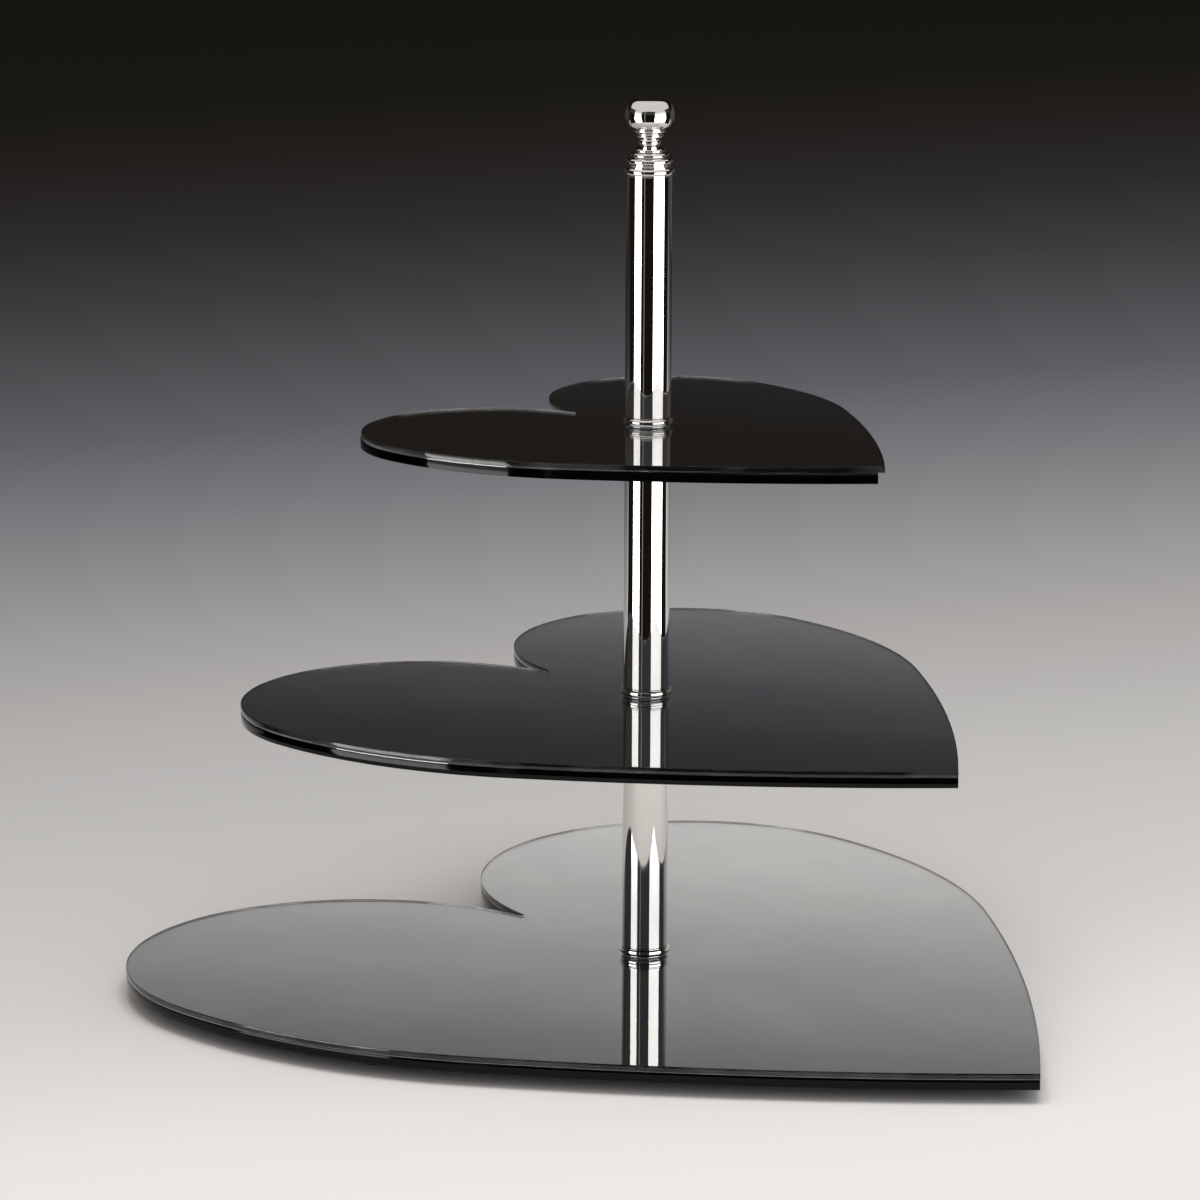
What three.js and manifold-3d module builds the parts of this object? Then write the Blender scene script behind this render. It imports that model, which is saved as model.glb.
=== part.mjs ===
// Three-tier cake stand: heart-shaped trays on a screw-together chrome pole.
// Millimetres, +Z up. The hearts' tips point to -Y and the pole stands on their centre line, X = 0.
// The origin is on the table, under the middle of the base tray's outline.

import * as THREE from 'three';
import { mergeVertices } from 'three/addons/utils/BufferGeometryUtils.js';
import Module from 'manifold-3d';

// ---------- driving dimensions ----------

const INCH = 25.4;
const { degToRad } = THREE.MathUtils;

// trays, from the table up: width of the heart, distance from its tip to the pole,
// and how far each sheet stands turned on the pole, in degrees
const TRAYS = [
  { name: 'base', width: 18 * INCH, tipToPole: 265.5, mirrorTurn: 0, backingTurn: 0 },
  { name: 'middle', width: 14 * INCH, tipToPole: 207.4, mirrorTurn: 0.9, backingTurn: 0.9 },
  { name: 'top', width: 10 * INCH, tipToPole: 151.6, mirrorTurn: 3.5, backingTurn: 1.7 },
];
const TRAY_RISES = [132, 135.2]; // from one tray's top face to the next one's
const MIRROR_THICKNESS = 3;
const BACKING_THICKNESS = 4.8;
const SHEET_GAP = 0.2; // air left between the two loose sheets of a tray
const TRAY_HOLE_DIAMETER = 9.6;

// heart outline as arcs that run from the tip round one side to the notch; radii are shares of its width
const TIP_HALF_ANGLE = 48.2;
const SIDE_ARC = { radius: 2.744, turn: 12.36, steps: 4 };
const HIP_ARC = { radius: 0.5528, turn: 37.43, steps: 6 };
const LOBE_ARC = { radius: 0.2423, turn: 113.08, steps: 16 };
const NOTCH_ARC = { radius: 0.2684, steps: 9 };
const NOTCH_END_RADIUS = 1; // the round that the cutter leaves at the bottom of the notch

// pole
const TUBE_DIAMETER = 22.6;
const TUBE_WALL = 1.2;
const UPPER_TUBE_LENGTH = 118.2;
const COLLAR_DIAMETER = 25;
const COLLAR_HEIGHT = 4;
const COLLAR_LIP = 0.2; // how far a collar's flat end stands out past the tube
const COLLAR_BEVEL_HEIGHT = 1.2; // at each end of a collar, up to its full diameter
const PLUG_LENGTH = 14;
const PLUG_CLEARANCE = 0.1;
const STUD_DIAMETER = 8; // M8 x 1.25
const STUD_HOLE_DIAMETER = 8.6;
const STUD_GRIP = 11; // how far a stud reaches into a plug
const FACE_GAP = 0.05; // between faces that rest on each other

// washers, and the screw that holds the base tray from below
const SOFT_WASHER = { diameter: 22, thickness: 0.5 };
const STEEL_WASHER = { diameter: 24, thickness: 1.6 };
const SCREW_HEAD = { diameter: 14, height: 3.4, socketDiameter: 6, socketDepth: 2 };
const HEX_SIDES = 6;

// feet
const FOOT_HEIGHT = 7;
const FOOT_DIAMETER = 17;
const FOOT_TOP_DIAMETER = 19;
const FOOT_EDGE = 1; // bevel round the foot's sole
// places under the base tray as shares of its width: across from the centre line, and back from the tip
const FOOT_PLACES = [
  { name: 'foot_tip', across: 0, back: 0.09 },
  { name: 'foot_left_side', across: -0.4, back: 0.56 },
  { name: 'foot_right_side', across: 0.4, back: 0.56 },
  { name: 'foot_left_lobe', across: -0.25, back: 0.93 },
  { name: 'foot_right_lobe', across: 0.25, back: 0.93 },
];

// finial: [radius, height] over the collar that it stands on, up to the ball
const FINIAL_STEM = [
  [11.6, 0], [11.6, 1.9], [9.4, 2.7], [9.4, 4.5], [7.8, 5.3], [7.8, 7], [4.6, 8.4], [5, 9.6], [5, 11.4],
  [6.1, 12.8], [6.5, 14.4], [7.4, 15.6], [7.9, 17],
];
const FINIAL_BALL = {
  radius: 12.2, flatRadius: 7.4, centre: 24.4, lowerRise: 8.2, upperRise: 8, crownRise: 0.3,
};
const FINIAL_BALL_STEPS = 5; // facets from the ball's waist to its top, and to its stem
const FINIAL_STUD_LENGTH = 14; // below the finial, through the collar and into the plug

// facets round a turned piece
const SHOWN_FACETS = 32;
const HIDDEN_FACETS = 24;
const MERGE_DISTANCE = 1e-4; // points closer than this are one point
const CUT_OVERLAP = 1; // how far solids that are joined or cut run into each other

// ---------- heights and places worked out from them ----------

const TRAY_THICKNESS = MIRROR_THICKNESS + SHEET_GAP + BACKING_THICKNESS;
const BASE_TOP = FOOT_HEIGHT + TRAY_THICKNESS;
const TRAY_TOPS = [BASE_TOP, BASE_TOP + TRAY_RISES[0], BASE_TOP + TRAY_RISES[0] + TRAY_RISES[1]];
const TUBE_RADIUS = TUBE_DIAMETER / 2;
const TUBE_BORE_RADIUS = TUBE_RADIUS - TUBE_WALL;

// ---------- solids ----------

const wasm = await Module();
wasm.setup();

function toSolid(geometry) {
  const bare = geometry.clone();
  bare.deleteAttribute('normal');
  bare.deleteAttribute('uv');
  const merged = mergeVertices(bare, MERGE_DISTANCE);
  return new wasm.Manifold(new wasm.Mesh({
    numProp: 3,
    vertProperties: new Float32Array(merged.attributes.position.array),
    triVerts: new Uint32Array(merged.index.array),
  }));
}

function toGeometry(solid) {
  const mesh = solid.getMesh();
  const geometry = new THREE.BufferGeometry();
  geometry.setAttribute('position', new THREE.BufferAttribute(new Float32Array(mesh.vertProperties), 3));
  geometry.setIndex(new THREE.BufferAttribute(new Uint32Array(mesh.triVerts), 1));
  geometry.computeVertexNormals();
  return geometry;
}

// a shape turned about Z from a profile of [radius, height] points that runs upwards
function turned(profile, facets) {
  const points = profile.map(([radius, height]) => new THREE.Vector2(radius, height));
  const geometry = new THREE.LatheGeometry(points, facets);
  geometry.rotateX(Math.PI / 2);
  return geometry;
}

function rod(radius, bottom, top, facets = HIDDEN_FACETS) {
  return turned([[0, bottom], [radius, bottom], [radius, top], [0, top]], facets);
}

// the outer side of a ring is a profile that runs upwards, and its bore closes it
function ring(boreRadius, outside, facets = HIDDEN_FACETS) {
  const bottom = outside[0][1];
  const top = outside[outside.length - 1][1];
  return turned([[boreRadius, bottom], ...outside, [boreRadius, top], [boreRadius, bottom]], facets);
}

function plainRing(boreRadius, outerRadius, bottom, top, facets = HIDDEN_FACETS) {
  return ring(boreRadius, [[outerRadius, bottom], [outerRadius, top]], facets);
}

// ---------- heart ----------

// the heart's right side, from its tip at (0, 0) to the end of the notch; y runs back from the tip
function heartSide(width) {
  const points = [new THREE.Vector2(0, 0)];
  let heading = degToRad(TIP_HALF_ANGLE);
  const follow = (radius, turn, steps) => {
    const step = turn / steps;
    for (let i = 0; i < steps; i += 1) {
      const chord = 2 * radius * Math.sin(step / 2);
      const along = heading - step / 2;
      const last = points[points.length - 1];
      points.push(new THREE.Vector2(last.x + chord * Math.sin(along), last.y + chord * Math.cos(along)));
      heading -= step;
    }
  };
  [SIDE_ARC, HIP_ARC, LOBE_ARC].forEach((arc) => follow(arc.radius * width, degToRad(arc.turn), arc.steps));
  const notchRadius = NOTCH_ARC.radius * width;
  const centreX = points[points.length - 1].x - notchRadius * Math.cos(heading);
  const endHeading = -Math.acos((NOTCH_END_RADIUS - centreX) / notchRadius);
  follow(notchRadius, heading - endHeading, NOTCH_ARC.steps);
  return points;
}

// the whole heart about the pole: up its right side from the tip, and back down its left side
function heartOutline(tray) {
  const side = heartSide(tray.width);
  const notchEnd = new THREE.Vector2(0, side[side.length - 1].y - NOTCH_END_RADIUS);
  const otherSide = side.slice(1).reverse().map((point) => new THREE.Vector2(-point.x, point.y));
  const outline = [...side, notchEnd, ...otherSide];
  return outline.map((point) => new THREE.Vector2(point.x, point.y - tray.tipToPole));
}

function heartSheet(tray, thickness) {
  const shape = new THREE.Shape(heartOutline(tray));
  const holePoints = [];
  for (let i = 0; i < HIDDEN_FACETS; i += 1) {
    const angle = (2 * Math.PI * i) / HIDDEN_FACETS;
    const radius = TRAY_HOLE_DIAMETER / 2;
    holePoints.push(new THREE.Vector2(radius * Math.cos(angle), -radius * Math.sin(angle)));
  }
  shape.holes.push(new THREE.Path(holePoints));
  return new THREE.ExtrudeGeometry(shape, { depth: thickness, bevelEnabled: false });
}

// ---------- materials ----------

const material = (name, color, roughness, metalness) => (
  new THREE.MeshStandardMaterial({ name, color, roughness, metalness })
);
const MATERIALS = {
  mirror: material('mirror', '#dfe3e6', 0.03, 1),
  blackAcrylic: material('black_acrylic', '#0a0a0b', 0.06, 0),
  chrome: material('chrome', '#e8e9ea', 0.05, 1),
  steel: material('steel', '#a9abae', 0.3, 1),
  softPlastic: material('soft_plastic', '#cfd3d4', 0.4, 0),
  rubber: material('rubber', '#1b1b1c', 0.8, 0),
};

// ---------- assembly ----------

const stand = new THREE.Group();
const baseOutline = heartOutline(TRAYS[0]);
const backOfBase = Math.max(...baseOutline.map((point) => point.y));
const frontOfBase = Math.min(...baseOutline.map((point) => point.y));
const poleY = -(backOfBase + frontOfBase) / 2;

function addToPole(name, geometry, finish, height = 0, turn = 0) {
  const mesh = new THREE.Mesh(geometry, MATERIALS[finish].clone());
  mesh.name = name;
  mesh.position.set(0, poleY, height);
  mesh.rotation.z = degToRad(turn);
  stand.add(mesh);
}

// trays: a mirror sheet over a black backing sheet
TRAYS.forEach((tray, level) => {
  const mirrorBottom = TRAY_TOPS[level] - MIRROR_THICKNESS;
  const backingBottom = TRAY_TOPS[level] - TRAY_THICKNESS;
  const mirror = heartSheet(tray, MIRROR_THICKNESS);
  const backing = heartSheet(tray, BACKING_THICKNESS);
  addToPole(`${tray.name}_mirror_sheet`, mirror, 'mirror', mirrorBottom, tray.mirrorTurn);
  addToPole(`${tray.name}_backing_sheet`, backing, 'blackAcrylic', backingBottom, tray.backingTurn);
});

// a bead-shaped collar, with its flat ends at the given height and COLLAR_HEIGHT above it
function collar() {
  const end = TUBE_RADIUS + COLLAR_LIP;
  const bead = COLLAR_DIAMETER / 2;
  const outside = [
    [end, 0],
    [bead, COLLAR_BEVEL_HEIGHT],
    [bead, COLLAR_HEIGHT - COLLAR_BEVEL_HEIGHT],
    [end, COLLAR_HEIGHT],
  ];
  return ring(STUD_HOLE_DIAMETER / 2, outside, SHOWN_FACETS);
}

function softWasher() {
  const thickness = SOFT_WASHER.thickness - FACE_GAP;
  return plainRing(STUD_HOLE_DIAMETER / 2, SOFT_WASHER.diameter / 2, 0, thickness);
}

// a tube with a threaded plug in each end
function addSection(name, bottom, top) {
  const length = top - bottom - 2 * FACE_GAP;
  const tube = plainRing(TUBE_BORE_RADIUS, TUBE_RADIUS, 0, length, SHOWN_FACETS);
  addToPole(`${name}_tube`, tube, 'chrome', bottom + FACE_GAP);
  const plugRadius = TUBE_BORE_RADIUS - PLUG_CLEARANCE;
  const plug = () => plainRing(STUD_HOLE_DIAMETER / 2, plugRadius, 0, PLUG_LENGTH);
  addToPole(`${name}_tube_lower_plug`, plug(), 'steel', bottom + FACE_GAP);
  addToPole(`${name}_tube_upper_plug`, plug(), 'steel', top - FACE_GAP - PLUG_LENGTH);
}

const COLLAR_STACK = SOFT_WASHER.thickness + COLLAR_HEIGHT; // washer and collar on a tray's face
const sections = ['lower', 'middle', 'upper'].map((name, level) => {
  const bottom = TRAY_TOPS[level] + COLLAR_STACK;
  const nextTray = TRAY_TOPS[level + 1];
  const lastTop = bottom + UPPER_TUBE_LENGTH;
  const top = nextTray === undefined ? lastTop : nextTray - TRAY_THICKNESS - COLLAR_STACK;
  return { name, bottom, top };
});
sections.forEach(({ name, bottom, top }, level) => {
  const tray = TRAYS[level].name;
  addSection(name, bottom, top);
  addToPole(`${tray}_tray_upper_washer`, softWasher(), 'softPlastic', TRAY_TOPS[level] + FACE_GAP / 2);
  addToPole(`${tray}_tray_upper_collar`, collar(), 'chrome', bottom - COLLAR_HEIGHT);
});
TRAYS.slice(1).forEach((tray, index) => {
  const underside = TRAY_TOPS[index + 1] - TRAY_THICKNESS;
  const washerBottom = underside - SOFT_WASHER.thickness + FACE_GAP / 2;
  addToPole(`${tray.name}_tray_lower_washer`, softWasher(), 'softPlastic', washerBottom);
  addToPole(`${tray.name}_tray_lower_collar`, collar(), 'chrome', sections[index].top);
  const studBottom = sections[index].top - STUD_GRIP;
  const studTop = sections[index + 1].bottom + STUD_GRIP;
  addToPole(`${tray.name}_tray_stud`, rod(STUD_DIAMETER / 2, studBottom, studTop), 'steel');
});

// the base tray's screw and washers, from below
const steelWasherBottom = FOOT_HEIGHT - STEEL_WASHER.thickness;
function baseScrew() {
  const headTop = steelWasherBottom - FACE_GAP;
  const headBottom = headTop - SCREW_HEAD.height;
  const head = toSolid(rod(SCREW_HEAD.diameter / 2, headBottom, headTop));
  const shankTop = sections[0].bottom + STUD_GRIP;
  const shank = toSolid(rod(STUD_DIAMETER / 2, headTop - CUT_OVERLAP, shankTop));
  const socketTop = headBottom + SCREW_HEAD.socketDepth;
  const socketRadius = SCREW_HEAD.socketDiameter / 2;
  const socket = toSolid(rod(socketRadius, headBottom - CUT_OVERLAP, socketTop, HEX_SIDES));
  return toGeometry(head.add(shank).subtract(socket));
}
addToPole('base_screw', baseScrew(), 'steel');
const steelWasher = plainRing(
  STUD_HOLE_DIAMETER / 2, STEEL_WASHER.diameter / 2, 0, STEEL_WASHER.thickness - FACE_GAP,
);
addToPole('base_screw_washer', steelWasher, 'steel', steelWasherBottom);

// feet stuck to the base tray
FOOT_PLACES.forEach(({ name, across, back }) => {
  const width = TRAYS[0].width;
  const sole = FOOT_DIAMETER / 2;
  const foot = turned([
    [0, 0], [sole - FOOT_EDGE, 0], [sole, FOOT_EDGE], [FOOT_TOP_DIAMETER / 2, FOOT_HEIGHT - FACE_GAP],
    [0, FOOT_HEIGHT - FACE_GAP],
  ], HIDDEN_FACETS);
  foot.translate(across * width, back * width - TRAYS[0].tipToPole, 0);
  addToPole(name, foot, 'rubber');
});

// the finial, the collar that it stands on, and the stud that screws it into the upper tube
function finial() {
  const { radius, flatRadius, centre, lowerRise, upperRise, crownRise } = FINIAL_BALL;
  const [stemRadius] = FINIAL_STEM[FINIAL_STEM.length - 1];
  const ball = [];
  for (let i = 1; i <= FINIAL_BALL_STEPS; i += 1) {
    const angle = (Math.PI / 2) * (1 - i / FINIAL_BALL_STEPS);
    const reach = stemRadius + (radius - stemRadius) * Math.cos(angle);
    ball.push([reach, centre - lowerRise * Math.sin(angle)]);
  }
  for (let i = 1; i <= FINIAL_BALL_STEPS; i += 1) {
    const angle = (Math.PI / 2) * (i / FINIAL_BALL_STEPS);
    const reach = flatRadius + (radius - flatRadius) * Math.cos(angle);
    ball.push([reach, centre + upperRise * Math.sin(angle)]);
  }
  const crown = centre + upperRise + crownRise;
  return turned([[0, 0], ...FINIAL_STEM, ...ball, [0, crown]], SHOWN_FACETS);
}
const finialCollarBottom = sections[2].top;
const finialBottom = finialCollarBottom + COLLAR_HEIGHT;
addToPole('finial_collar', collar(), 'chrome', finialCollarBottom);
addToPole('finial', finial(), 'chrome', finialBottom + FACE_GAP);
const finialStud = rod(STUD_DIAMETER / 2, finialBottom - FINIAL_STUD_LENGTH, finialBottom);
addToPole('finial_stud', finialStud, 'steel');

export default stand;
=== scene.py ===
# A three-tier cake stand: heart-shaped mirror trays on a screw-together chrome pole.
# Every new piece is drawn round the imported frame, in metres, and rides on one of its bodies.

import math

import bpy
from mathutils import Matrix, Vector


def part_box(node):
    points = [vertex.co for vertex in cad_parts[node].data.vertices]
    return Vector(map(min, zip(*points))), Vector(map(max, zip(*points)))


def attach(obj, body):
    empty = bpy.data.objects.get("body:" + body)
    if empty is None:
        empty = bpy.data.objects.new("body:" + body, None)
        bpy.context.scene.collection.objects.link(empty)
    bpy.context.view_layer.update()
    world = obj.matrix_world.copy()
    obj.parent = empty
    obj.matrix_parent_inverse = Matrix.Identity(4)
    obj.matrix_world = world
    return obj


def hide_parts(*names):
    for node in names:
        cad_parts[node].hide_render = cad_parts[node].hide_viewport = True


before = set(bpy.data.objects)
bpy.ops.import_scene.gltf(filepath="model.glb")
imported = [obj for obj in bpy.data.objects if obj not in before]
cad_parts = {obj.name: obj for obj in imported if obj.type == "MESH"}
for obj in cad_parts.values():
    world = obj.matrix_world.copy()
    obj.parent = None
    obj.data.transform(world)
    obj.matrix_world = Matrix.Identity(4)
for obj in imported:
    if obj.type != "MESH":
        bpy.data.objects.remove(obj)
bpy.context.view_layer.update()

MM = 0.001

# ---------- sizes taken from the frame ----------


def bottom_of(node):
    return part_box(node)[0].z


def top_of(node):
    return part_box(node)[1].z


def radius_of(node):
    low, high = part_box(node)
    return (high.x - low.x) / 2


def axis_of(node):
    """The place on the floor straight under a round node's middle."""
    low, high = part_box(node)
    return Vector(((low.x + high.x) / 2, (low.y + high.y) / 2, 0))


POLE = axis_of("upper_tube")
TUBE_RADIUS = radius_of("upper_tube")

# ---------- sizes of the details ----------

WELD = 1e-6  # points closer together than this are one point

# heart: arcs from the tip round one side to the notch, with radii as shares of the heart's width
TIP_HALF_ANGLE = math.radians(48.2)
SIDE_ARCS = (
    # radius, turn in degrees, steps
    (2.744, 12.36, 20),
    (0.5528, 37.43, 28),
    (0.2423, 113.08, 64),
)
NOTCH_ARC_RADIUS = 0.2684
NOTCH_ARC_STEPS = 36
NOTCH_END_RADIUS = 1.0 * MM
NOTCH_END_STEPS = 6

INCH = 25.4 * MM
TRAYS = {
    # width, tip to pole, turn of the mirror sheet and of the backing sheet in degrees, body
    "base": (18 * INCH, 265.5 * MM, 0.0, 0.0, "base_and_pole"),
    "middle": (14 * INCH, 207.4 * MM, 0.9, 0.9, "middle_tray"),
    "top": (10 * INCH, 151.6 * MM, 3.5, 1.7, "top_tray"),
}
TRAY_HOLE_RADIUS = 4.8 * MM
TRAY_HOLE_SIDES = 64
DRILL_LENGTH = 3  # as a share of the sheet's thickness
# a broken edge, as steps inwards and outwards from the cut face: [in, up]
POLISHED_EDGE = ((0.10 * MM, 0.22 * MM), (0.16 * MM, 0.10 * MM))
SAWN_EDGE = ((0.12 * MM, 0.26 * MM), (0.22 * MM, 0.12 * MM))
FLAT_SLOPE = 0.9  # a face whose normal rises more than this is flat
CUT_EDGE_SLOPE = 0.5  # a face whose normal rises less than this belongs to the cut edge
COAT_THICKNESS = 0.10 * MM
COAT_BITE = 0.05 * MM  # how far the silvering reaches up into the clear sheet
COAT_MARGIN = 0.25 * MM  # the silvering stops this far inside the cut edge

TURNED_STEPS = 96
HARDWARE_STEPS = 64  # for the small turned parts under the base tray
TUBE_BORE_RADIUS = 10.1 * MM
TUBE_END_ROUND = 0.35 * MM
TUBE_END_STEPS = 4
TUBE_HOLDING_LOOP = 0.15 * MM  # keeps the end's round from bending the shine along the wall
STUD_HOLE_RADIUS = 4.3 * MM
BEAD_STEPS = 14

THREAD_PITCH = 1.25 * MM
THREAD_DEPTH = 0.62 * MM
THREAD_FLANK_RISE = 0.44 * THREAD_PITCH
THREAD_CREST_RISE = 0.12 * THREAD_PITCH
THREAD_STEPS = 32

# ---------- modelling helpers ----------


def deselect_all():
    if bpy.context.object and bpy.context.object.mode != "OBJECT":
        bpy.ops.object.mode_set(mode="OBJECT")
    bpy.ops.object.select_all(action="DESELECT")


def select_only(piece):
    deselect_all()
    piece.select_set(True)
    bpy.context.view_layer.objects.active = piece


def start_point(name, place):
    """One point in edit mode, ready to be extruded or spun."""
    deselect_all()
    bpy.ops.mesh.primitive_plane_add(size=MM, location=place)
    piece = bpy.context.object
    piece.name = name
    piece.data.name = name
    bpy.ops.object.mode_set(mode="EDIT")
    bpy.ops.mesh.select_mode(type="VERT")
    bpy.ops.mesh.select_all(action="SELECT")
    bpy.ops.mesh.merge(type="CENTER")
    bpy.ops.mesh.select_all(action="SELECT")
    return piece


def extrude_to(step):
    bpy.ops.mesh.extrude_region_move(TRANSFORM_OT_translate={"value": step})


def settle(piece, smooth_angle=None):
    """Back to object mode with the place in the mesh and the shading smoothed."""
    select_only(piece)
    bpy.ops.object.transform_apply(location=True, rotation=True, scale=True)
    if smooth_angle is not None:
        bpy.ops.object.shade_smooth_by_angle(angle=math.radians(smooth_angle))
    return piece


def close_shell():
    """Merge doubles and turn every face outwards, in edit mode."""
    bpy.ops.mesh.select_all(action="SELECT")
    bpy.ops.mesh.remove_doubles(threshold=WELD)
    bpy.ops.mesh.normals_make_consistent(inside=False)


def apply_modifier(piece, kind, **settings):
    select_only(piece)
    modifier = piece.modifiers.new(kind.lower(), kind)
    for setting, value in settings.items():
        setattr(modifier, setting, value)
    bpy.ops.object.modifier_apply(modifier=modifier.name)


def cut_away(piece, cutter):
    apply_modifier(piece, "BOOLEAN", operation="DIFFERENCE", object=cutter, solver="EXACT")
    bpy.data.objects.remove(cutter)


def turned(name, profile, centre=POLE, steps=TURNED_STEPS, smooth_angle=38):
    """A piece turned about an upright axis from the [radius, height] points of its section."""
    first = profile[0]
    piece = start_point(name, (centre.x + first[0], centre.y, first[1]))
    last = first
    for point in profile[1:]:
        extrude_to((point[0] - last[0], 0, point[1] - last[1]))
        last = point
    bpy.ops.mesh.select_all(action="SELECT")
    bpy.ops.mesh.spin(
        steps=steps,
        dupli=False,
        angle=2 * math.pi,
        center=(centre.x, centre.y, 0),
        axis=(0, 0, 1),
    )
    close_shell()
    return settle(piece, smooth_angle)


def arc(centre, radii, start, end, steps):
    """Points on an elliptic arc in a [radius, height] section, with angles from outwards."""
    points = []
    for i in range(steps + 1):
        angle = math.radians(start + (end - start) * i / steps)
        points.append(
            (centre[0] + radii[0] * math.cos(angle), centre[1] + radii[1] * math.sin(angle))
        )
    return points


def rounded(centre, radius, start, end, steps):
    return arc(centre, (radius, radius), start, end, steps)


def closed(profile):
    return [*profile, profile[0]]


# ---------- hearts ----------


def heart_wire(name, width, tip_to_pole):
    """One side of the heart as a chain of edges: a point spun round each arc's centre in turn."""
    piece = start_point(name, (0, -tip_to_pole, 0))
    place = Vector((0, -tip_to_pole, 0))
    heading = TIP_HALF_ANGLE

    def follow(radius, turn, steps):
        nonlocal place, heading
        centre = place + radius * Vector((-math.cos(heading), math.sin(heading), 0))
        bpy.ops.mesh.spin(steps=steps, dupli=False, angle=turn, center=centre, axis=(0, 0, -1))
        place = centre + Matrix.Rotation(turn, 3, "Z") @ (place - centre)
        heading -= turn

    for radius, turn, steps in SIDE_ARCS:
        follow(radius * width, math.radians(turn), steps)
    notch_radius = NOTCH_ARC_RADIUS * width
    centre_x = place.x - notch_radius * math.cos(heading)
    end_heading = -math.acos((NOTCH_END_RADIUS - centre_x) / notch_radius)
    follow(notch_radius, heading - end_heading, NOTCH_ARC_STEPS)
    bpy.ops.mesh.spin(
        steps=NOTCH_END_STEPS,
        dupli=False,
        angle=math.pi / 2,
        center=(0, place.y, 0),
        axis=(0, 0, 1),
    )
    return piece


def select_flat_faces(piece, height):
    """Select the flat faces that lie at a height, in edit mode."""
    bpy.ops.mesh.select_all(action="DESELECT")
    bpy.ops.object.mode_set(mode="OBJECT")
    for face in piece.data.polygons:
        face.select = abs(face.center.z - height) < WELD and abs(face.normal.z) > FLAT_SLOPE
    bpy.ops.object.mode_set(mode="EDIT")


def heart_sheet(name, tray, turn, bottom, top, edge, margin=0.0):
    """A heart cut from sheet, with its edges broken and a hole for the pole."""
    width, tip_to_pole = TRAYS[tray][:2]
    piece = heart_wire(name, width, tip_to_pole)
    settle(piece)
    apply_modifier(piece, "MIRROR", use_axis=(True, False, False), merge_threshold=WELD)
    bpy.ops.object.mode_set(mode="EDIT")
    bpy.ops.mesh.select_mode(type="VERT")
    bpy.ops.mesh.select_all(action="SELECT")
    bpy.ops.mesh.remove_doubles(threshold=WELD)
    bpy.ops.mesh.edge_face_add()
    bpy.ops.mesh.select_mode(type="FACE")
    if margin:
        bpy.ops.mesh.select_all(action="SELECT")
        bpy.ops.mesh.inset(thickness=margin, depth=0)
        bpy.ops.mesh.select_all(action="INVERT")
        bpy.ops.mesh.delete(type="FACE")
    break_height = sum(up for inwards, up in edge)
    bpy.ops.mesh.select_all(action="SELECT")
    bpy.ops.transform.translate(value=(0, 0, bottom + break_height))
    extrude_to((0, 0, top - bottom - 2 * break_height))
    bpy.ops.mesh.select_all(action="SELECT")
    bpy.ops.mesh.normals_make_consistent(inside=False)
    for height in (bottom + break_height, top - break_height):
        select_flat_faces(piece, height)
        for inwards, up in edge:
            bpy.ops.mesh.inset(thickness=inwards, depth=up)
    bpy.ops.object.mode_set(mode="OBJECT")
    bpy.ops.mesh.primitive_cylinder_add(
        vertices=TRAY_HOLE_SIDES,
        radius=TRAY_HOLE_RADIUS,
        depth=DRILL_LENGTH * (top - bottom),
        location=(0, 0, (bottom + top) / 2),
    )
    cut_away(piece, bpy.context.object)
    piece.rotation_euler.z = math.radians(turn)
    piece.location = POLE
    bpy.context.view_layer.update()
    return settle(piece, smooth_angle=25)


# ---------- materials ----------

ACRYLIC_IOR = 1.49


def to_linear(code):
    """A '#rrggbb' sRGB colour as linear RGBA."""
    shares = [int(code[i : i + 2], 16) / 255 for i in (1, 3, 5)]
    return tuple(
        s / 12.92 if s <= 0.04045 else ((s + 0.055) / 1.055) ** 2.4 for s in shares
    ) + (1.0,)


def add_node(tree, kind, inputs=None, **settings):
    """A node with its settings, and its inputs given as values or as the outputs to link."""
    node = tree.nodes.new(kind)
    for setting, value in settings.items():
        setattr(node, setting, value)
    for name, value in (inputs or {}).items():
        if isinstance(value, bpy.types.NodeSocket):
            tree.links.new(value, node.inputs[name])
        else:
            node.inputs[name].default_value = value
    return node


def bare_material(name):
    """A material with nothing in it but its output."""
    material = bpy.data.materials.new(name)
    material.use_nodes = True
    tree = material.node_tree
    tree.nodes.clear()
    return material, tree, add_node(tree, "ShaderNodeOutputMaterial")


def new_material(name):
    """A material's tree, its main shader, and the place on the piece to draw patterns by."""
    material, tree, output = bare_material(name)
    shader = add_node(tree, "ShaderNodeBsdfPrincipled")
    tree.links.new(shader.outputs["BSDF"], output.inputs["Surface"])
    place = add_node(tree, "ShaderNodeTexCoord").outputs["Object"]
    return material, tree, shader, place


def per_metre(millimetres):
    """A noise scale whose blotches are this many millimetres across."""
    return 1000.0 / millimetres


def varied(
    tree, place, size, low=0.0, high=1.0, detail=2.0, stretch=(1, 1, 1), from_low=0.3, from_high=0.7
):
    """A number that wanders between low and high in blotches of a size in millimetres."""
    mapping = add_node(tree, "ShaderNodeMapping", {"Vector": place, "Scale": stretch})
    noise = add_node(
        tree,
        "ShaderNodeTexNoise",
        {"Vector": mapping.outputs["Vector"], "Scale": per_metre(size), "Detail": detail},
    )
    span = add_node(
        tree,
        "ShaderNodeMapRange",
        {
            "Value": noise.outputs["Fac"],
            "From Min": from_low,
            "From Max": from_high,
            "To Min": low,
            "To Max": high,
        },
    )
    return span.outputs["Result"]


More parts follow.
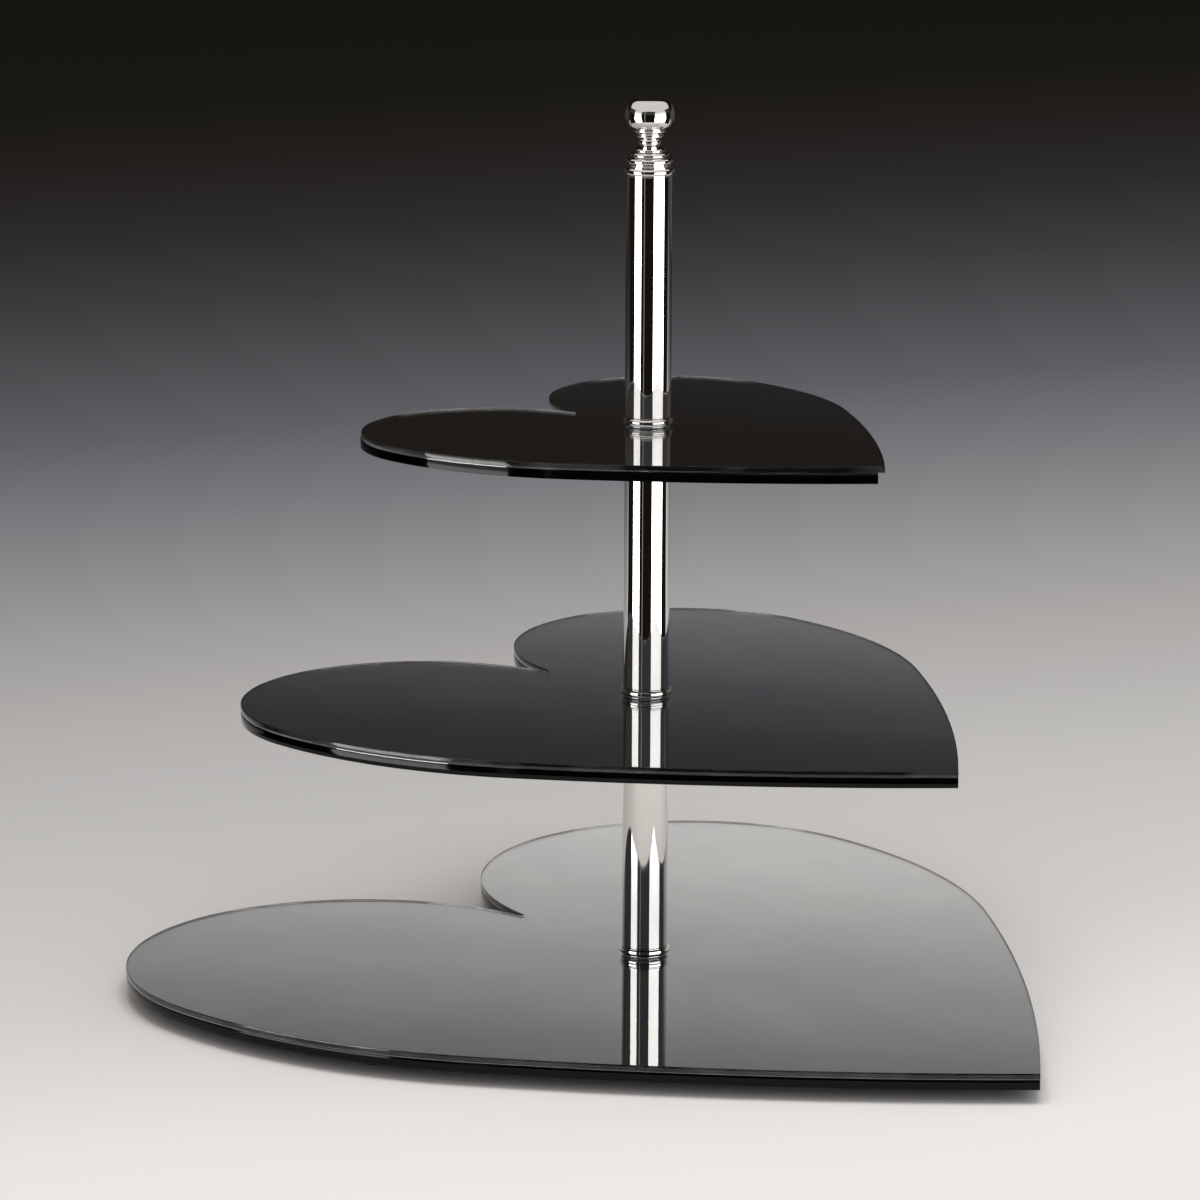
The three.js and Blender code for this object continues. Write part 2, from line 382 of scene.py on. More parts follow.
def blended(tree, share, first, second):
    """A colour between two sRGB colours."""
    mix = add_node(tree, "ShaderNodeMix", data_type="RGBA")
    tree.links.new(share, mix.inputs["Factor"])
    ends = {"A": to_linear(first), "B": to_linear(second)}
    for socket in mix.inputs:
        if socket.type == "RGBA":
            socket.default_value = ends[socket.name]
    return next(s for s in mix.outputs if s.type == "RGBA")


def bumped(tree, shader, height, depth):
    """Relief from a height field; depth is in metres."""
    bump = add_node(
        tree, "ShaderNodeBump", {"Height": height, "Distance": depth, "Strength": 1.0}
    )
    tree.links.new(bump.outputs["Normal"], shader.inputs["Normal"])


def set_inputs(tree, shader, **values):
    """The main shader's sockets, from numbers, '#rrggbb' colours or the outputs to link."""
    names = {
        "colour": "Base Color",
        "metallic": "Metallic",
        "roughness": "Roughness",
        "ior": "IOR",
        "transmission": "Transmission Weight",
        "specular": "Specular IOR Level",
    }
    for key, value in values.items():
        socket = shader.inputs[names[key]]
        if isinstance(value, bpy.types.NodeSocket):
            tree.links.new(value, socket)
        else:
            socket.default_value = to_linear(value) if isinstance(value, str) else value


def make_clear_acrylic():
    """Cast acrylic sheet: water clear, with a faint cool cast and a soft ripple."""
    material, tree, shader, place = new_material("clear_cast_acrylic")
    smear = varied(tree, place, 45)
    set_inputs(
        tree,
        shader,
        colour=blended(tree, smear, "#f9fafb", "#f1f4f5"),
        roughness=varied(tree, place, 30, 0.0, 0.012),
        ior=ACRYLIC_IOR,
        transmission=1.0,
    )
    # casting leaves a soft ripple, a few millimetres long
    ripple = varied(tree, place, 9, detail=1.0)
    bumped(tree, shader, ripple, 0.004 * MM)
    return material


def make_polished_edge():
    """The sheet's cut edge after the polishing flame: clearer and hazier stretches, with painted
    glints and painted dark stretches in its colour.
    """
    material, tree, shader, place = new_material("flame_polished_acrylic_edge")
    # painted glints and painted dark stretches: the edge's colour runs between grey and near white
    # in long blotches
    painted_glint_stretches = varied(tree, place, 26, detail=1.0, from_low=0.42, from_high=0.58)
    set_inputs(
        tree,
        shader,
        colour=blended(tree, painted_glint_stretches, "#7f8386", "#fbfcfc"),
        roughness=varied(tree, place, 18, 0.0, 0.16),
        ior=ACRYLIC_IOR,
        transmission=0.94,
    )
    # the saw's lines, all but melted away
    lines = varied(tree, place, 1.6, stretch=(0.05, 0.05, 1))
    bumped(tree, shader, lines, 0.008 * MM)
    return material


def make_silvering():
    """Aluminium laid on the acrylic in a vacuum: a neutral mirror, a little duller than silver."""
    material, tree, shader, place = new_material("vacuum_silvering")
    shade = varied(tree, place, 60)
    set_inputs(
        tree,
        shader,
        colour=blended(tree, shade, "#e7e7e8", "#e0e0e2"),
        metallic=1.0,
        roughness=varied(tree, place, 25, 0.0, 0.015),
    )
    return material


def make_black_acrylic():
    """Extruded black acrylic with polished edges: a wet black gloss with faint handling marks."""
    material, tree, shader, place = new_material("gloss_black_acrylic")
    shade = varied(tree, place, 14)
    set_inputs(
        tree,
        shader,
        colour=blended(tree, shade, "#020202", "#060606"),
        roughness=varied(tree, place, 20, 0.03, 0.10, detail=4.0),
        ior=ACRYLIC_IOR,
        specular=0.18,
    )
    marks = varied(tree, place, 2.5, detail=4.0)
    bumped(tree, shader, marks, 0.003 * MM)
    return material


def make_chrome():
    """Decorative chromium over polished tube: a bright mirror with wiping haze along the pole."""
    material, tree, shader, place = new_material("decorative_chrome_plate")
    haze = varied(tree, place, 12, detail=3.0, stretch=(1, 1, 0.25))
    set_inputs(
        tree,
        shader,
        colour=blended(tree, haze, "#e3e0dd", "#d8d6d4"),
        metallic=1.0,
        roughness=varied(tree, place, 8, 0.015, 0.06, detail=4.0, stretch=(1, 1, 0.3)),
    )
    # drawn tube is never dead straight: a slow swell along its length
    swell = varied(tree, place, 40, detail=0.0, stretch=(1, 1, 0.5))
    bumped(tree, shader, swell, 0.02 * MM)
    return material


def make_zinc_steel():
    """Steel with bright zinc plating: grey, slightly blue, with a frosted grain."""
    material, tree, shader, place = new_material("bright_zinc_plated_steel")
    grain = varied(tree, place, 1.2, detail=4.0)
    set_inputs(
        tree,
        shader,
        colour=blended(tree, varied(tree, place, 6), "#b4b8bd", "#a7a9a6"),
        metallic=1.0,
        roughness=varied(tree, place, 3, 0.24, 0.42, detail=3.0),
    )
    bumped(tree, shader, grain, 0.01 * MM)
    return material


def make_vinyl():
    """Soft clear vinyl punched from sheet: milky, slightly grey, waxy to the touch."""
    material, tree, shader, place = new_material("soft_clear_vinyl")
    cloud = varied(tree, place, 4, detail=3.0)
    set_inputs(
        tree,
        shader,
        colour=blended(tree, cloud, "#d7dcdb", "#c4cac9"),
        roughness=varied(tree, place, 2, 0.22, 0.38),
        ior=1.53,
        transmission=0.6,
    )
    bumped(tree, shader, varied(tree, place, 1.0, detail=3.0), 0.01 * MM)
    return material


def make_rubber():
    """Moulded black rubber: matt, with a fine spark-eroded grain and a little grey dust."""
    material, tree, shader, place = new_material("moulded_black_rubber")
    dust = varied(tree, place, 5, detail=5.0)
    set_inputs(
        tree,
        shader,
        colour=blended(tree, dust, "#141414", "#242423"),
        roughness=varied(tree, place, 3, 0.62, 0.85),
        ior=1.52,
    )
    bumped(tree, shader, varied(tree, place, 0.5, detail=3.0), 0.03 * MM)
    return material


CLEAR_ACRYLIC = make_clear_acrylic()
POLISHED_ACRYLIC_EDGE = make_polished_edge()
SILVERING = make_silvering()
BLACK_ACRYLIC = make_black_acrylic()
CHROME = make_chrome()
ZINC_STEEL = make_zinc_steel()
VINYL = make_vinyl()
RUBBER = make_rubber()


def finish_piece(piece, material, body, node):
    """Its material, the body that it rides on, and the frame node that it stands for."""
    piece.data.materials.clear()
    piece.data.materials.append(material)
    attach(piece, body)
    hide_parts(node)


def haze_cut_edge_with_painted_glints(piece):
    """The faces of the cut edge take the edge's own finish, hazy and with painted glints; the
    hole's wall stays clear.
    """
    edge_index = len(piece.data.materials)
    piece.data.materials.append(POLISHED_ACRYLIC_EDGE)
    for face in piece.data.polygons:
        from_pole = (face.center - POLE).xy.length
        if abs(face.normal.z) < CUT_EDGE_SLOPE and from_pole > 2 * TRAY_HOLE_RADIUS:
            face.material_index = edge_index


# ---------- trays ----------

for tray, (*_, mirror_turn, backing_turn, body) in TRAYS.items():
    mirror_node = f"{tray}_mirror_sheet"
    backing_node = f"{tray}_backing_sheet"
    mirror_bottom = bottom_of(mirror_node)
    clear = heart_sheet(
        f"{tray}_mirror_clear_sheet",
        tray,
        mirror_turn,
        mirror_bottom + COAT_THICKNESS - COAT_BITE,
        top_of(mirror_node),
        POLISHED_EDGE,
    )
    finish_piece(clear, CLEAR_ACRYLIC, body, mirror_node)
    haze_cut_edge_with_painted_glints(clear)
    coat = heart_sheet(
        f"{tray}_mirror_silvering",
        tray,
        mirror_turn,
        mirror_bottom,
        mirror_bottom + COAT_THICKNESS,
        (),
        margin=COAT_MARGIN,
    )
    finish_piece(coat, SILVERING, body, mirror_node)
    backing = heart_sheet(
        f"{tray}_backing_black_sheet",
        tray,
        backing_turn,
        bottom_of(backing_node),
        top_of(backing_node),
        SAWN_EDGE,
    )
    finish_piece(backing, BLACK_ACRYLIC, body, backing_node)

# ---------- pole ----------

for section in ("lower", "middle", "upper"):
    node = f"{section}_tube"
    low, high = bottom_of(node), top_of(node)
    end_centre = TUBE_RADIUS - TUBE_END_ROUND
    wall = [
        (TUBE_BORE_RADIUS, low),
        *rounded((end_centre, low + TUBE_END_ROUND), TUBE_END_ROUND, -90, 0, TUBE_END_STEPS),
        (TUBE_RADIUS, low + TUBE_END_ROUND + TUBE_HOLDING_LOOP),
        (TUBE_RADIUS, high - TUBE_END_ROUND - TUBE_HOLDING_LOOP),
        *rounded((end_centre, high - TUBE_END_ROUND), TUBE_END_ROUND, 0, 90, TUBE_END_STEPS),
        (TUBE_BORE_RADIUS, high),
    ]
    tube = turned(f"{section}_chrome_tube", closed(wall))
    finish_piece(tube, CHROME, "base_and_pole", node)

COLLAR_BODIES = {
    "base_tray_upper_collar": "base_and_pole",
    "middle_tray_lower_collar": "base_and_pole",
    "middle_tray_upper_collar": "base_and_pole",
    "top_tray_lower_collar": "base_and_pole",
    "top_tray_upper_collar": "base_and_pole",
    "finial_collar": "finial_seat",
}
COLLAR_NECK_RADIUS = 11.45 * MM
COLLAR_LAND = 0.35 * MM  # the narrow flat band above and below the bead
for node, body in COLLAR_BODIES.items():
    low, high = bottom_of(node), top_of(node)
    middle, half = (low + high) / 2, (high - low) / 2
    bead_reach = radius_of(node) - COLLAR_NECK_RADIUS
    section = [
        (STUD_HOLE_RADIUS, low),
        (COLLAR_NECK_RADIUS, low),
        *arc((COLLAR_NECK_RADIUS, middle), (bead_reach, half - COLLAR_LAND), -90, 90, BEAD_STEPS),
        (COLLAR_NECK_RADIUS, high),
        (STUD_HOLE_RADIUS, high),
    ]
    collar = turned(f"{node}_bead", closed(section), smooth_angle=50)
    finish_piece(collar, CHROME, body, node)

# ---------- finial ----------

finial_low = bottom_of("finial")
BALL_RADIUS = radius_of("finial")
FINIAL_BEADS = (
    # neck radius, outer radius, lowest and highest over the collar, in millimetres
    (10.5, 11.2, 0.0, 1.2),
    (10.5, 11.6, 1.5, 4.2),
    (8.6, 9.5, 4.4, 6.7),
    (6.9, 7.7, 6.9, 8.7),
    (4.5, 5.7, 10.2, 13.6),
    (5.9, 6.8, 14.0, 16.2),
    (7.2, 8.1, 16.5, 18.2),
)
FINIAL_BEAD_STEPS = 10
# the ball is two quarter arcs, below and above its widest ring; heights are over the collar
BALL_STEPS = 14
BALL_CENTRE = 24.4 * MM
BALL_FLAT_RADIUS = 7.4 * MM
BALL_NECK_RADIUS = 7.4 * MM
BALL_LOWER_RISE = 6.1 * MM
BALL_UPPER_RISE = 8.0 * MM
CROWN_RISE = 0.3 * MM
finial_section = [(0.0, 0.0)]
for neck, outer, low, high in FINIAL_BEADS:
    finial_section += arc(
        (neck * MM, (low + high) / 2 * MM),
        ((outer - neck) * MM, (high - low) / 2 * MM),
        -90,
        90,
        FINIAL_BEAD_STEPS,
    )
finial_section += arc(
    (BALL_NECK_RADIUS, BALL_CENTRE),
    (BALL_RADIUS - BALL_NECK_RADIUS, BALL_LOWER_RISE),
    -90,
    0,
    BALL_STEPS,
)
finial_section += arc(
    (BALL_FLAT_RADIUS, BALL_CENTRE),
    (BALL_RADIUS - BALL_FLAT_RADIUS, BALL_UPPER_RISE),
    0,
    90,
    BALL_STEPS,
)
finial_section.append((0.0, BALL_CENTRE + BALL_UPPER_RISE + CROWN_RISE))
finial = turned(
    "finial_chrome_knob",
    [(radius, finial_low + height) for radius, height in finial_section],
    smooth_angle=40,
)
finish_piece(finial, CHROME, "finial_knob", "finial")


def threaded_rod(name, node):
    """A rod with a rolled thread: one tooth's outline wound up the rod by a screw."""
    low, high = bottom_of(node), top_of(node)
    root = radius_of(node) - THREAD_DEPTH
    piece = start_point(name, (POLE.x + root, POLE.y, low))
    extrude_to((THREAD_DEPTH, 0, THREAD_FLANK_RISE))
    extrude_to((0, 0, THREAD_CREST_RISE))
    extrude_to((-THREAD_DEPTH, 0, THREAD_FLANK_RISE))
    bpy.ops.object.mode_set(mode="OBJECT")
    piece.location = (0, 0, 0)
    for vertex in piece.data.vertices:
        vertex.co.x += root
        vertex.co.z += low
    turns = round((high - low) / THREAD_PITCH) - 1
    apply_modifier(
        piece,
        "SCREW",
        axis="Z",
        steps=THREAD_STEPS,
        render_steps=THREAD_STEPS,
        screw_offset=THREAD_PITCH,
        iterations=turns,
        use_merge_vertices=True,
        merge_threshold=WELD,
    )
    piece.location = POLE
    bpy.ops.object.mode_set(mode="EDIT")
    bpy.ops.mesh.select_mode(type="VERT")
    bpy.ops.mesh.select_all(action="SELECT")
    bpy.ops.mesh.remove_doubles(threshold=WELD)
    bpy.ops.mesh.select_all(action="DESELECT")
    bpy.ops.mesh.select_non_manifold()
    bpy.ops.mesh.fill()
    close_shell()
    return settle(piece, smooth_angle=50)


finial_stud = threaded_rod("finial_threaded_stud", "finial_stud")
finish_piece(finial_stud, ZINC_STEEL, "finial_knob", "finial_stud")

# ---------- feet, and the screw under the base tray ----------

FEET = ("foot_tip", "foot_left_side", "foot_right_side", "foot_left_lobe", "foot_right_lobe")
FOOT_TAPER = 1.0 * MM  # how much less the sole's radius is than the top's
SOLE_DISH_RADIUS = 5.0 * MM
SOLE_DISH_DEPTH = 0.6 * MM
SOLE_ROUND = 1.0 * MM
SOLE_ROUND_STEPS = 6
FOOT_LIP = 0.25 * MM  # how far the lip stands out past the wall
FOOT_LIP_DROP = 1.2 * MM
FOOT_LIP_ROUND = 0.4 * MM
FOOT_LIP_STEPS = 4
FOOT_BEVEL = 1.2 * MM
first_node, *other_nodes = FEET
foot_low, foot_high = bottom_of(first_node), top_of(first_node)
foot_radius = radius_of(first_node)
foot_section = [
    (0.0, foot_low + SOLE_DISH_DEPTH),
    (SOLE_DISH_RADIUS - SOLE_DISH_DEPTH, foot_low + SOLE_DISH_DEPTH),
    (SOLE_DISH_RADIUS, foot_low),
    *rounded(
        (foot_radius - FOOT_TAPER - SOLE_ROUND, foot_low + SOLE_ROUND),
        SOLE_ROUND,
        -90,
        -5,
        SOLE_ROUND_STEPS,
    ),
    (foot_radius - FOOT_LIP, foot_high - FOOT_LIP_DROP),
    *rounded(
        (foot_radius - FOOT_LIP_ROUND, foot_high - 2 * FOOT_LIP_ROUND),
        FOOT_LIP_ROUND,
        0,
        90,
        FOOT_LIP_STEPS,
    ),
    (foot_radius - FOOT_BEVEL, foot_high),
    (0.0, foot_high),
]
first_foot = turned(
    f"{first_node}_rubber",
    foot_section,
    centre=axis_of(first_node),
    steps=HARDWARE_STEPS,
    smooth_angle=40,
)
finish_piece(first_foot, RUBBER, "base_and_pole", first_node)
# each further foot is a copy of the first foot's mesh, moved to its own node's place
for node in other_nodes:
    foot = first_foot.copy()
    foot.data = first_foot.data.copy()
    foot.name = f"{node}_rubber"
    bpy.context.scene.collection.objects.link(foot)
    foot.data.transform(Matrix.Translation(axis_of(node) - axis_of(first_node)))
    foot.parent = None
    finish_piece(foot, RUBBER, "base_and_pole", node)

screw_low, screw_high = bottom_of("base_screw"), top_of("base_screw")
washer_low, washer_high = bottom_of("base_screw_washer"), top_of("base_screw_washer")
head_radius = radius_of("base_screw")
SHANK_RADIUS = 4.0 * MM
SHANK_BEVEL = 0.8 * MM
HEAD_GAP = 0.05 * MM  # between the head and the washer
HEAD_ROUND = 0.8 * MM
HEAD_ROUND_STEPS = 5
SOCKET_RADIUS = 3.0 * MM
SOCKET_DEPTH = 2.0 * MM
SOCKET_SIDES = 6
head_high = washer_low - HEAD_GAP
screw_section = [
    (0.0, screw_low),
    *rounded(
        (head_radius - HEAD_ROUND, screw_low + HEAD_ROUND), HEAD_ROUND, -90, 0, HEAD_ROUND_STEPS
    ),
    (head_radius, head_high),
    (SHANK_RADIUS, head_high),
    (SHANK_RADIUS, screw_high - SHANK_BEVEL),
    (SHANK_RADIUS - SHANK_BEVEL, screw_high),
    (0.0, screw_high),
]
screw = turned("base_socket_screw", screw_section, steps=HARDWARE_STEPS)
bpy.ops.mesh.primitive_cylinder_add(
    vertices=SOCKET_SIDES,
    radius=SOCKET_RADIUS,
    depth=2 * SOCKET_DEPTH,
    location=(POLE.x, POLE.y, screw_low),
)
cut_away(screw, bpy.context.object)
settle(screw, smooth_angle=35)
finish_piece(screw, ZINC_STEEL, "base_and_pole", "base_screw")

washer_radius = radius_of("base_screw_washer")
WASHER_ROUND = 0.3 * MM
WASHER_ROUND_STEPS = 3
rim_centre = washer_radius - WASHER_ROUND
washer_section = [
    (STUD_HOLE_RADIUS, washer_low),
    *rounded(
        (rim_centre, washer_low + WASHER_ROUND), WASHER_ROUND, -90, 0, WASHER_ROUND_STEPS
    ),
    *rounded(
        (rim_centre, washer_high - WASHER_ROUND), WASHER_ROUND, 0, 90, WASHER_ROUND_STEPS
    ),
    (STUD_HOLE_RADIUS, washer_high),
]
washer = turned("base_screw_steel_washer", closed(washer_section), steps=HARDWARE_STEPS)
finish_piece(washer, ZINC_STEEL, "base_and_pole", "base_screw_washer")

# ---------- frame nodes that keep their meshes and take a finish ----------

for node, cad_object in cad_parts.items():
    finish = None
    if node.endswith("_plug") or node.endswith("_stud"):
        finish = ZINC_STEEL
    elif node.endswith("_washer"):
        finish = VINYL
    if finish and not cad_object.hide_render:
        for material_slot in cad_object.material_slots:
            material_slot.material = finish

# ---------- camera ----------

VIEW_TURN = math.radians(-43.0)
VIEW_PITCH = math.radians(12.475)
VIEW_ROLL = math.radians(0.257)
VIEW_LENS = 151.48
CAMERA_BACK = 2419.3 * MM
CAMERA_LEFT = 22.9 * MM
CAMERA_HEIGHT = 715.0 * MM  # over the base tray's top face
CAMERA_SENSOR = 36  # in millimetres, as the lens is
CAMERA_CLIP = (0.05, 60)

ahead = Vector((-math.sin(VIEW_TURN), math.cos(VIEW_TURN), 0))
rightwards = Vector((ahead.y, -ahead.x, 0))
camera_data = bpy.data.cameras.new("studio_camera")
camera_data.lens = VIEW_LENS
camera_data.sensor_width = CAMERA_SENSOR
camera_data.clip_start, camera_data.clip_end = CAMERA_CLIP
camera = bpy.data.objects.new("studio_camera", camera_data)
bpy.context.scene.collection.objects.link(camera)
camera.location = POLE - CAMERA_BACK * ahead - CAMERA_LEFT * rightwards
camera.location.z = top_of("base_mirror_sheet") + CAMERA_HEIGHT
camera.rotation_euler = (
    Matrix.Rotation(VIEW_TURN, 3, "Z")
    @ Matrix.Rotation(math.pi / 2 - VIEW_PITCH, 3, "X")
    @ Matrix.Rotation(VIEW_ROLL, 3, "Z")
).to_euler()
bpy.context.scene.camera = camera

# ---------- studio: cards for the mirrors to see, a floor, a light and a room ----------

UPWARDS = Vector((0, 0, 1))


def make_glow(name, colour_of, strength=1.0):
    """A material that only shines, in the colour that colour_of(tree) gives."""
    material, tree, output = bare_material(name)
    glow = add_node(tree, "ShaderNodeEmission", {"Color": colour_of(tree), "Strength": strength})
    tree.links.new(glow.outputs["Emission"], output.inputs["Surface"])
    return material


def plain(colour):
    """For make_glow: one even colour."""
    return lambda tree: to_linear(colour)


def ramp_by(tree, value, stops):
    """A colour ramp along a value; each stop is a value and its sRGB colour."""
    first, last = stops[0][0], stops[-1][0]
    share = add_node(
        tree,
        "ShaderNodeMapRange",
        {"Value": value, "From Min": first, "From Max": last, "To Min": 0.0, "To Max": 1.0},
    )
    ramp = add_node(tree, "ShaderNodeValToRGB", {"Fac": share.outputs["Result"]})
    ramp.color_ramp.interpolation = "LINEAR"
    elements = ramp.color_ramp.elements
    while len(elements) < len(stops):
        elements.new(0.5)
    for element, (at, colour) in zip(elements, stops):
        element.position = (at - first) / (last - first)
        element.color = to_linear(colour)
    return ramp.outputs["Color"]


def distance_along(tree, direction):
    """How far a point lies from the pole's foot, measured along a direction."""
    place = add_node(tree, "ShaderNodeTexCoord").outputs["Object"]
    centred = add_node(
        tree, "ShaderNodeMapping", {"Vector": place, "Location": (-POLE.x, -POLE.y, 0)}
    )
    along = add_node(
        tree,
        "ShaderNodeVectorMath",
        {0: centred.outputs["Vector"], 1: direction},
        operation="DOT_PRODUCT",
    )
    return along.outputs["Value"]


def hide_from(piece, *rays):
    for ray in rays:
        setattr(piece, f"visible_{ray}", False)


def studio_card(name, material, middle, facing, width, low, high, lean=UPWARDS, lift=0.0):
    """A flat card that only reflections, and rays bent by the clear sheets, can see.

    It reaches from low to high along its lean, which is upwards unless it lies over the stand.
    """
    deselect_all()
    bpy.ops.mesh.primitive_plane_add(size=1)
    card = bpy.context.object
    card.name = name
    across = Vector((-facing.y, facing.x, 0))
    corners = [
        middle + across * side * width / 2 + lean * reach + UPWARDS * lift
        for reach in (low, high)
        for side in (-1, 1)
    ]
    for vertex, corner in zip(card.data.vertices, corners):
        vertex.co = corner
    card.data.materials.append(material)
    hide_from(card, "camera", "diffuse", "shadow", "volume_scatter")


BACKDROP_BACK = 0.32
BACKDROP_WIDTH = 2.0
BACKDROP_LOW = -0.02
BACKDROP_HIGH = 1.0
# tone of the graded backdrop by height over the table, in metres
BACKDROP_TONES = (
    (0.00, "#dedbd7"),
    (0.030, "#d8d5d1"),
    (0.058, "#cecbc7"),
    (0.073, "#c1bfbb"),
    (0.088, "#b7b5b2"),
    (0.102, "#adabaa"),
    (0.117, "#a19f9e"),
    (0.132, "#999897"),
    (0.146, "#8e8d8e"),
    (0.162, "#818082"),
    (0.192, "#69686a"),
    (0.204, "#5e5d5f"),
    (0.216, "#535154"),
    (0.227, "#4b4a4c"),
    (0.239, "#434142"),
    (0.251, "#3b3939"),
    (0.290, "#313030"),
    (0.327, "#292725"),
    (0.342, "#25211e"),
    (0.60, "#1b1714"),
)
BACKDROP_FALL_TO_THE_LEFT = 0.07


def backdrop_tone(tree):
    height = distance_along(tree, UPWARDS - BACKDROP_FALL_TO_THE_LEFT * rightwards)
    return ramp_by(tree, height, BACKDROP_TONES)


studio_card(
    "backdrop_card",
    make_glow("graded_backdrop", backdrop_tone),
    POLE + ahead * BACKDROP_BACK,
    -ahead,
    BACKDROP_WIDTH,
    BACKDROP_LOW,
    BACKDROP_HIGH,
)

# darker screens in front of both sides of the backdrop, for the edges of the upper tube and
# the finial
SIDE_SCREEN_REACH = (0.17, 1.0)
SIDE_SCREEN_HEIGHTS = (0.31, 0.52)
SIDE_SCREEN_GAP = 0.01  # from the backdrop
SIDE_SCREENS = {"left_side_screen": (-1, "#453e3a"), "right_side_screen": (1, "#565350")}
for name, (side, tone) in SIDE_SCREENS.items():
    inner, outer = SIDE_SCREEN_REACH
    studio_card(
        name,
        make_glow(name, plain(tone)),
        POLE
        + ahead * (BACKDROP_BACK - SIDE_SCREEN_GAP)
        + rightwards * side * (inner + outer) / 2,
        -ahead,
        outer - inner,
        *SIDE_SCREEN_HEIGHTS,
    )

# two tall soft boxes on the camera's side and a grey screen between them, each given by the
# bearings of its two edges in degrees, from the camera's own direction
SOFT_BOX_DISTANCE = 1.25
SOFT_BOX_LOW = -0.45
SOFT_BOX_HIGH = 0.95
SOFT_BOX_STRENGTH = 7.0
# the cloth glows most low down, where the lamp is
SOFT_BOX_TONES = (
    (SOFT_BOX_LOW, "#fffdfa"),
    (0.27, "#fffdfa"),
    (0.33, "#8b8a88"),
    (0.58, "#838280"),
    (SOFT_BOX_HIGH, "#3f3f3e"),
)


def soft_box_tone(tree):
    return ramp_by(tree, distance_along(tree, UPWARDS), SOFT_BOX_TONES)


soft_box_glow = make_glow("soft_box_face", soft_box_tone, SOFT_BOX_STRENGTH)
grey_screen_glow = make_glow("grey_screen", plain("#9b9793"))
SOFT_BOXES = {
    "left_soft_box": (-73.5, -39.0, soft_box_glow),
    "narrow_grey_screen": (-24.6, -21.4, grey_screen_glow),
    "right_soft_box": (23.0, 78.0, soft_box_glow),
}
for name, (first, last, glow) in SOFT_BOXES.items():
    bearing = math.radians((first + last) / 2)
    half_width = SOFT_BOX_DISTANCE * math.tan(math.radians(last - first) / 2)
    outwards = -ahead * math.cos(bearing) + rightwards * math.sin(bearing)
    studio_card(
        name,
        glow,
        POLE + outwards * SOFT_BOX_DISTANCE,
        -outwards,
        2 * half_width,
        SOFT_BOX_LOW,
        SOFT_BOX_HIGH,
    )

# a sheet of silk lying flat over the pole and the camera's side of the stand
SILK_HEIGHT = 0.62
SILK_NEAR = -0.45
SILK_FAR = 0.15
SILK_WIDTH = 0.95
studio_card(
    "overhead_silk",
    make_glow("overhead_silk", plain("#e8e6e3")),
    POLE + ahead * SILK_NEAR,
    -ahead,
    SILK_WIDTH,
    0.0,
    SILK_FAR - SILK_NEAR,
    lean=ahead,
    lift=SILK_HEIGHT,
)

# floor: pale in front of the stand and darker behind it and to the left, the light's fall-off into
# the dark painted into its colour as painted shade
TABLE_RADIUS = 0.60  # the table is the part of the floor that reflections see
FLOOR_RADIUS = 14.0
FLOOR_SIDES = 128
FLOOR_LAP = 0.01  # how far the far floor reaches in under the table's edge
FLOOR_DROP = 0.3 * MM
FLOOR_ROUGHNESS = 0.5
# by how far behind the pole, in metres
FLOOR_TONES = (
    (-0.30, "#e9e5e1"),
    (-0.15, "#e5e0dc"),
    (-0.05, "#ddd7d4"),
    (0.05, "#d4ceca"),
    (0.20, "#cbc6c2"),
    (0.39, "#c1bebb"),
    (0.52, "#bab7b5"),
    (0.70, "#b2aeac"),
    (0.91, "#a4a2a1"),
    (1.12, "#939293"),
    (1.37, "#7f7f83"),
    (1.64, "#69696e"),
    (1.94, "#58595b"),
    (2.30, "#474548"),
    (2.75, "#363333"),
    (3.32, "#2a2624"),
    (3.90, "#201e1a"),
    (7.00, "#191713"),
)
FLOOR_FALL_TO_THE_LEFT = 0.46  # as a share of how fast the floor darkens behind the stand


def floor_painted_falloff_tone(tree):
    behind = distance_along(tree, ahead - FLOOR_FALL_TO_THE_LEFT * rightwards)
    return ramp_by(tree, behind, FLOOR_TONES)


def floor_disc(radius, height):
    deselect_all()
    bpy.ops.mesh.primitive_circle_add(
        vertices=FLOOR_SIDES, radius=radius, fill_type="NGON", location=(POLE.x, POLE.y, height)
    )
    return bpy.context.object


floor_material, floor_tree, floor_output = bare_material("studio_floor")
# painted shade: the floor's colour darkens with the light's fall-off away from the stand
floor_matt = add_node(
    floor_tree,
    "ShaderNodeBsdfDiffuse",
    {"Color": floor_painted_falloff_tone(floor_tree), "Roughness": FLOOR_ROUGHNESS},
)
floor_tree.links.new(floor_matt.outputs["BSDF"], floor_output.inputs["Surface"])

table = settle(floor_disc(TABLE_RADIUS, 0))
table.name = "studio_table"
table.data.materials.append(floor_material)

far_floor = floor_disc(FLOOR_RADIUS, -FLOOR_DROP)
bpy.ops.object.mode_set(mode="EDIT")
bpy.ops.mesh.select_all(action="SELECT")
bpy.ops.mesh.inset(thickness=FLOOR_RADIUS - TABLE_RADIUS + FLOOR_LAP, depth=0)
bpy.ops.mesh.delete(type="FACE")
settle(far_floor)
far_floor.name = "studio_far_floor"
far_floor.data.materials.append(floor_material)
hide_from(far_floor, "diffuse", "glossy", "transmission")

